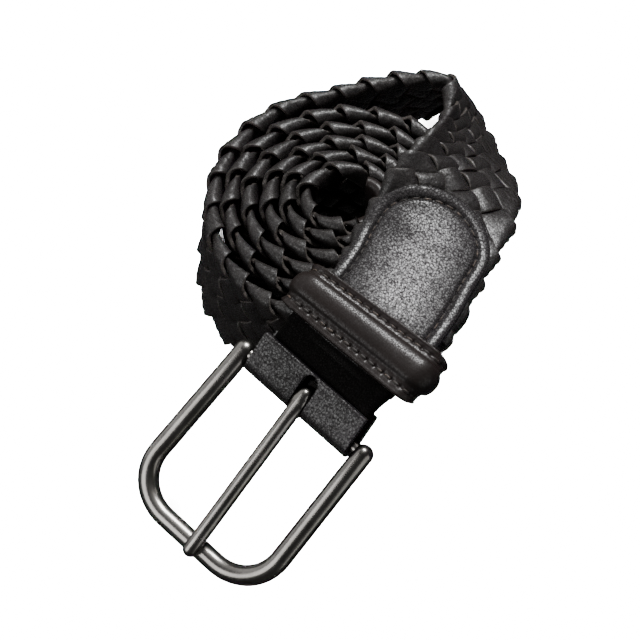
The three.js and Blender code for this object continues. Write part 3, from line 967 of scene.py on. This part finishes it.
def roundEnd(piece, direction, radius):
    # a half ball on the ring that is selected, in short extrusions that close in
    steps = 5
    middle = sum((v.co for v in bmesh.from_edit_mesh(piece.data).verts if v.select), Vector())
    count = sum(1 for v in bmesh.from_edit_mesh(piece.data).verts if v.select)
    middle /= count
    for i in range(steps):
        before = math.cos(i / steps * math.pi / 2)
        after = math.cos((i + 1) / steps * math.pi / 2) if i + 1 < steps else 0.08
        move = radius * (math.sin((i + 1) / steps * math.pi / 2) - math.sin(i / steps * math.pi / 2))
        bpy.ops.mesh.extrude_region_move(TRANSFORM_OT_translate={"value": tuple(direction * move)})
        middle = middle + direction * move
        ratio = after / before
        bpy.ops.transform.resize(value=(ratio, ratio, ratio), center_override=middle)
    bpy.ops.mesh.edge_face_add()


def buildFrame():
    radius = legRadius
    corner = buckle["corner"]
    legs = buckle["legLength"] - corner
    deselectAll()
    upright = (math.pi / 2, 0, 0)
    bpy.ops.mesh.primitive_circle_add(vertices=32, radius=radius, location=(-barHalf, 0, 0), rotation=upright)
    piece = bpy.context.object
    piece.name = "buckleFrame"
    bpy.ops.object.transform_apply(location=True, rotation=True, scale=True)
    bpy.ops.object.mode_set(mode="EDIT")
    bpy.ops.mesh.select_all(action="SELECT")
    for _ in range(3):
        bpy.ops.mesh.extrude_region_move(TRANSFORM_OT_translate={"value": (0, -legs / 3, 0)})
    bpy.ops.mesh.spin(steps=18, angle=-math.pi / 2, center=(-barHalf + corner, -legs, 0), axis=(0, 0, 1))
    for _ in range(4):
        bpy.ops.mesh.extrude_region_move(TRANSFORM_OT_translate={"value": ((barHalf - corner) / 2, 0, 0)})
    bpy.ops.mesh.spin(steps=18, angle=-math.pi / 2, center=(barHalf - corner, -legs, 0), axis=(0, 0, 1))
    for _ in range(3):
        bpy.ops.mesh.extrude_region_move(TRANSFORM_OT_translate={"value": (0, legs / 3, 0)})
    roundEnd(piece, Vector((0, 1, 0)), radius)
    bpy.ops.mesh.select_all(action="DESELECT")
    selectPlaces(piece, lambda p: abs(p.y) < 1e-4 and p.x < 0)
    roundEnd(piece, Vector((0, 1, 0)), radius)
    bpy.ops.mesh.select_all(action="SELECT")
    bpy.ops.mesh.remove_doubles(threshold=1e-4)
    bpy.ops.mesh.normals_make_consistent(inside=False)
    bpy.ops.object.mode_set(mode="OBJECT")
    found = places(piece)
    share = np.clip(-found[:, 1] / buckle["legLength"], 0, 2)
    side = np.clip(found[:, 0] / barHalf, -1, 1)
    found[:, 0] += buckle["slant"] * share + side * buckle["flare"] * np.minimum(share, 1)
    movePlaces(piece, found)
    # the notch for the prong's tip
    tipHeight = legRadius + buckle["prongDiameter"] / 2 + strap["gap"] - buckle["notchDepth"]
    bpy.ops.mesh.primitive_cylinder_add(
        vertices=40, radius=buckle["prongDiameter"] / 2 + strap["gap"], depth=4 * legRadius,
        location=(buckle["prongLean"], -buckle["legLength"], tipHeight), rotation=(math.pi / 2, 0, 0),
    )
    cutWith(piece, bpy.context.object)
    # the bar, a thinner pin from leg to leg
    deselectAll()
    bpy.ops.mesh.primitive_cylinder_add(
        vertices=32, radius=buckle["barDiameter"] / 2, depth=2 * barHalf, location=(0, 0, 0), rotation=(0, math.pi / 2, 0),
    )
    bar = bpy.context.object
    bar.select_set(True)
    piece.select_set(True)
    bpy.context.view_layer.objects.active = piece
    bpy.ops.object.join()
    tipBuckle(piece)
    dress(piece, "frame")
    bpy.ops.object.shade_smooth_by_angle(angle=math.radians(40))
    piece.data.materials.clear()
    piece.data.materials.append(gunmetal)
    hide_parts("buckle_frame")


def joinWith(piece, other):
    cutWith(piece, other, "UNION")


def cutWith(piece, cutter, operation="DIFFERENCE"):
    cut = piece.modifiers.new("cut", "BOOLEAN")
    cut.operation = operation
    cut.object = cutter
    cut.solver = "EXACT"
    deselectAll()
    piece.select_set(True)
    bpy.context.view_layer.objects.active = piece
    bpy.ops.object.modifier_apply(modifier="cut")
    bpy.data.objects.remove(cutter)


def buildProng():
    radius = buckle["prongDiameter"] / 2
    eyeOuter = foldInner + buckle["eyeWall"]
    wall = buckle["eyeWall"] / 2
    tipHeight = legRadius + radius + strap["gap"] - buckle["notchDepth"]
    rootHeight = eyeOuter - radius
    length = buckle["legLength"] + legRadius - radius
    root = eyeOuter - radius - 0.35
    # the shaft, drawn from its root towards the tip, both ends rounded
    deselectAll()
    upright = (math.pi / 2, 0, 0)
    bpy.ops.mesh.primitive_circle_add(vertices=32, radius=radius, location=(0, root, rootHeight), rotation=upright)
    piece = bpy.context.object
    piece.name = "prongRod"
    bpy.ops.object.transform_apply(location=True, rotation=True, scale=True)
    bpy.ops.object.mode_set(mode="EDIT")
    bpy.ops.mesh.select_all(action="SELECT")
    bpy.ops.mesh.extrude_region_move(TRANSFORM_OT_translate={"value": (0, -root, 0)})
    for _ in range(10):
        bpy.ops.mesh.extrude_region_move(TRANSFORM_OT_translate={
            "value": (buckle["prongLean"] / 10, -length / 10, (tipHeight - rootHeight) / 10),
        })
    roundEnd(piece, Vector((0, -1, 0)), radius)
    bpy.ops.mesh.select_all(action="DESELECT")
    selectPlaces(piece, lambda p: abs(p.y - root) < 1e-4)
    roundEnd(piece, Vector((0, 1, 0)), radius)
    bpy.ops.mesh.select_all(action="SELECT")
    bpy.ops.mesh.remove_doubles(threshold=1e-4)
    bpy.ops.mesh.normals_make_consistent(inside=False)
    bpy.ops.object.mode_set(mode="OBJECT")
    # the eye, an oval section spun round the bar
    bpy.ops.mesh.primitive_circle_add(vertices=32, radius=1, rotation=(math.pi / 2, 0, 0))
    eye = bpy.context.object
    bpy.ops.object.transform_apply(location=True, rotation=True, scale=True)
    bpy.ops.object.mode_set(mode="EDIT")
    bpy.ops.mesh.select_all(action="SELECT")
    bpy.ops.transform.resize(value=(radius, 1, wall))
    bpy.ops.transform.translate(value=(0, 0, foldInner + wall))
    bpy.ops.mesh.spin(steps=56, angle=2 * math.pi, center=(0, 0, 0), axis=(1, 0, 0))
    bpy.ops.mesh.select_all(action="SELECT")
    bpy.ops.mesh.remove_doubles(threshold=1e-4)
    bpy.ops.mesh.normals_make_consistent(inside=False)
    bpy.ops.object.mode_set(mode="OBJECT")
    joinWith(piece, eye)
    bpy.ops.mesh.primitive_cylinder_add(vertices=56, radius=foldInner, depth=8, rotation=(0, math.pi / 2, 0))
    cutWith(piece, bpy.context.object)
    tipBuckle(piece)
    dress(piece, "prong")
    bpy.ops.object.shade_smooth_by_angle(angle=math.radians(50))
    piece.data.materials.clear()
    piece.data.materials.append(gunmetal)
    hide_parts("prong")


# Bar fold

def foldMatrix():
    middle, across = barPlace()
    out = along("out", np.array([0.0]))[0]
    out = Vector(out)
    alongStrap = out.cross(Vector(across))
    matrix = Matrix((alongStrap, out.cross(alongStrap), out)).transposed().to_4x4()
    return Matrix.Translation(Vector(middle) * mm) @ matrix @ Matrix.Scale(mm, 4)


# A cutter shaped as the slot: x along the strap, y across it, z out of it
def slotCutter():
    halfWidth = buckle["prongDiameter"] / 2 + buckle["slotRoom"]
    back = buckle["slotLength"] - halfWidth
    front = -2 * foldOuter
    low = -neck["thickness"] / 2 - 0.1
    deselectAll()
    bpy.ops.mesh.primitive_cylinder_add(vertices=32, radius=halfWidth, depth=20, location=(back, 0, 10 + low))
    cutter = bpy.context.object
    bpy.ops.object.transform_apply(location=True, rotation=True, scale=True)
    bpy.ops.object.mode_set(mode="EDIT")
    bpy.ops.mesh.select_all(action="DESELECT")
    selectPlaces(cutter, lambda p: p.x < back - 0.01)
    bpy.ops.transform.translate(value=(front - back, 0, 0))
    bpy.ops.object.mode_set(mode="OBJECT")
    # room for the prong's rounded root to turn in
    bpy.ops.mesh.primitive_cylinder_add(
        vertices=40, radius=buckle["pocketRadius"], depth=2 * halfWidth, rotation=(math.pi / 2, 0, 0),
    )
    pocketRound = bpy.context.object
    joinWith(cutter, pocketRound)
    cutter.data.transform(foldMatrix())
    cutter.data.update()
    return cutter


def cutSlot(piece):
    cutWith(piece, slotCutter())


def buildFold():
    inner = neck["thickness"] / 2 + strap["gap"]
    # the profile: down the front of the fold, then the same way back inside it
    reach = buckle["foldLength"]
    profile = []
    profile.append((reach, foldOuter - 0.45))
    profile.append((reach - 0.35, foldOuter - 0.1))
    profile.append((reach - 0.9, foldOuter))
    for i in range(4):
        profile.append((reach - 0.9 - (reach - 0.9) * (i + 1) / 5, foldOuter))
    for i in range(25):
        angle = math.pi / 2 + math.pi * i / 24
        profile.append((foldOuter * math.cos(angle), foldOuter * math.sin(angle)))
    for i in range(4):
        profile.append(((reach - 0.9) * (i + 1) / 5, -foldOuter))
    profile.append((reach - 0.9, -foldOuter))
    profile.append((reach, -foldOuter + 0.45))
    profile.append((reach, -inner))
    profile.append((0.5, -foldInner))
    for i in range(25):
        angle = -math.pi / 2 - math.pi * i / 24
        profile.append((foldInner * math.cos(angle), foldInner * math.sin(angle)))
    profile.append((0.5, foldInner))
    profile.append((reach, inner))
    deselectAll()
    half = strap["width"] / 2
    bpy.ops.mesh.primitive_circle_add(vertices=len(profile), radius=1)
    piece = bpy.context.object
    piece.name = "barFold"
    movePlaces(piece, np.array([(x, -half, z) for x, z in profile]))
    bpy.ops.object.mode_set(mode="EDIT")
    bpy.ops.mesh.select_all(action="SELECT")
    bpy.ops.mesh.edge_face_add()
    bpy.ops.mesh.select_all(action="SELECT")
    bpy.ops.mesh.extrude_region_move(TRANSFORM_OT_translate={"value": (0, strap["width"], 0)})
    bpy.ops.mesh.select_all(action="SELECT")
    bpy.ops.mesh.normals_make_consistent(inside=False)
    bpy.ops.object.mode_set(mode="OBJECT")
    piece.data.transform(foldMatrix())
    bpy.ops.object.shade_smooth_by_angle(angle=math.radians(35))
    cutSlot(piece)
    bevel = piece.modifiers.new("edges", "BEVEL")
    bevel.width = 0.00035
    bevel.segments = 3
    bevel.limit_method = "ANGLE"
    bevel.angle_limit = math.radians(50)
    deselectAll()
    piece.select_set(True)
    bpy.context.view_layer.objects.active = piece
    bpy.ops.object.modifier_apply(modifier="edges")
    dress(piece, "belt")
    bpy.ops.object.shade_smooth_by_angle(angle=math.radians(40))
    piece.data.materials.append(tabLeather)
    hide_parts("bar_fold")


# End tip: the strap's free end in the eye of the roll

def buildTip():
    slab = leatherSlab("endTip", 60, 36)
    found = places(slab)
    start = path["tipStart"] + strap["gap"] / 2
    distance = start + (path["freeEnd"] - start) * found[:, 0]
    across = (found[:, 1] - 0.5) * strap["width"]
    inside = strap["width"] / 2 - np.abs(across)
    corner = np.clip(1 - inside / 1.2, 0, 1)
    half = strap["thickness"] / 2 - 0.9 * (1 - np.sqrt(1 - corner ** 2))
    out = np.where(found[:, 2] > 0.5, half, -half)
    movePlaces(slab, layFlat(np.stack((distance, across, out), axis=1)))
    dress(slab, "belt")
    recalculate(slab)
    slab.data.materials.append(keeperLeather)
    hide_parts("end_tip")


buildTab()
print("tab ready")
buildNeck()
buildKeeper()
print("keeper ready")
buildFrame()
buildProng()
buildFold()
buildTip()
print("buckle ready")


# Camera, floor and light

view = {
    "azimuth": 42.5,
    "elevation": 61.0,
    "distance": 0.9,
    "focal": 3510.0,
    "principal": (345.0, 207.0),
    "target": (-0.007236, 0.014671, 0.035014),
}


def buildCamera():
    azimuth = math.radians(view["azimuth"])
    elevation = math.radians(view["elevation"])
    back = Vector((
        math.sin(azimuth) * math.cos(elevation), -math.cos(azimuth) * math.cos(elevation), math.sin(elevation),
    ))
    right = Vector((math.cos(azimuth), math.sin(azimuth), 0))
    up = back.cross(right)
    aim = back * -view["focal"] + right * (320 - view["principal"][0]) - up * (320 - view["principal"][1])
    data = bpy.data.cameras.new("camera")
    data.sensor_width = 36
    data.lens = view["focal"] / 640 * 36
    camera = bpy.data.objects.new("camera", data)
    camera.location = Vector(view["target"]) + back * view["distance"]
    camera.rotation_euler = aim.to_track_quat("-Z", "Y").to_euler()
    scene.collection.objects.link(camera)
    scene.camera = camera


def buildStage():
    deselectAll()
    bpy.ops.mesh.primitive_plane_add(size=6, location=(0, 0, -0.0004))
    floor = bpy.context.object
    floor.name = "floor"
    paint = Paint("paleFloor")
    shade = paint.noise(3.0, 2.0)
    base = paint.blend(shade, color(0.9, 0.9, 0.9), color(0.92, 0.92, 0.92))
    floor.data.materials.append(paint.surface(Base_Color=base, Roughness=0.9, Specular_IOR_Level=0.1))
    floor.visible_diffuse = False
    floor.visible_glossy = False


lights = {
    "key": {"toward": (-0.15, 0.53, 0.83), "distance": 0.9, "size": 0.34, "power": 22.5},
    "top": {"toward": (-0.2, 0.1, 0.96), "distance": 1.3, "size": 1.0, "power": 1.5},
    "fill": {"toward": (-0.344, -0.809, 0.45), "distance": 0.8, "size": 0.5, "power": 4.0},
    "left": {"toward": (-0.85, -0.1, 0.4), "distance": 0.7, "size": 0.8, "power": 2.2},
    "right": {"toward": (0.95, -0.1, 0.2), "distance": 0.7, "size": 0.5, "power": 1.0},
    "floorFront": {"toward": (0.0, -0.85, 0.42), "distance": 1.3, "size": 0.9, "power": 900.0},
    "floorBack": {"toward": (0.0, 0.85, 0.42), "distance": 1.3, "size": 0.9, "power": 900.0},
    "floorLeft": {"toward": (-0.85, 0.0, 0.42), "distance": 1.3, "size": 0.9, "power": 900.0},
    "floorRight": {"toward": (0.85, 0.0, 0.42), "distance": 1.3, "size": 0.9, "power": 900.0},
}
worldLight = 0.06


def buildLights():
    for name, settings in lights.items():
        data = bpy.data.lights.new(name, "AREA")
        data.shape = "SQUARE"
        data.size = settings["size"]
        data.energy = settings["power"]
        lamp = bpy.data.objects.new(name + "Lamp", data)
        toward = Vector(settings["toward"]).normalized()
        lamp.location = Vector((0, 0, 0.02)) + toward * settings["distance"]
        lamp.rotation_euler = toward.to_track_quat("Z", "Y").to_euler()
        scene.collection.objects.link(lamp)
        # the floor has lamps of its own, as a studio background has
        if name.startswith("floor"):
            lit = bpy.data.collections.new(name + "Lit")
            lit.objects.link(bpy.data.objects["floor"])
            lamp.light_linking.receiver_collection = lit
    world = bpy.data.worlds.new("studio")
    world.use_nodes = True
    world.node_tree.nodes["Background"].inputs["Color"].default_value = color(1, 1, 1)
    world.node_tree.nodes["Background"].inputs["Strength"].default_value = worldLight
    scene.world = world


buildCamera()
buildStage()
buildLights()

print("all ready")
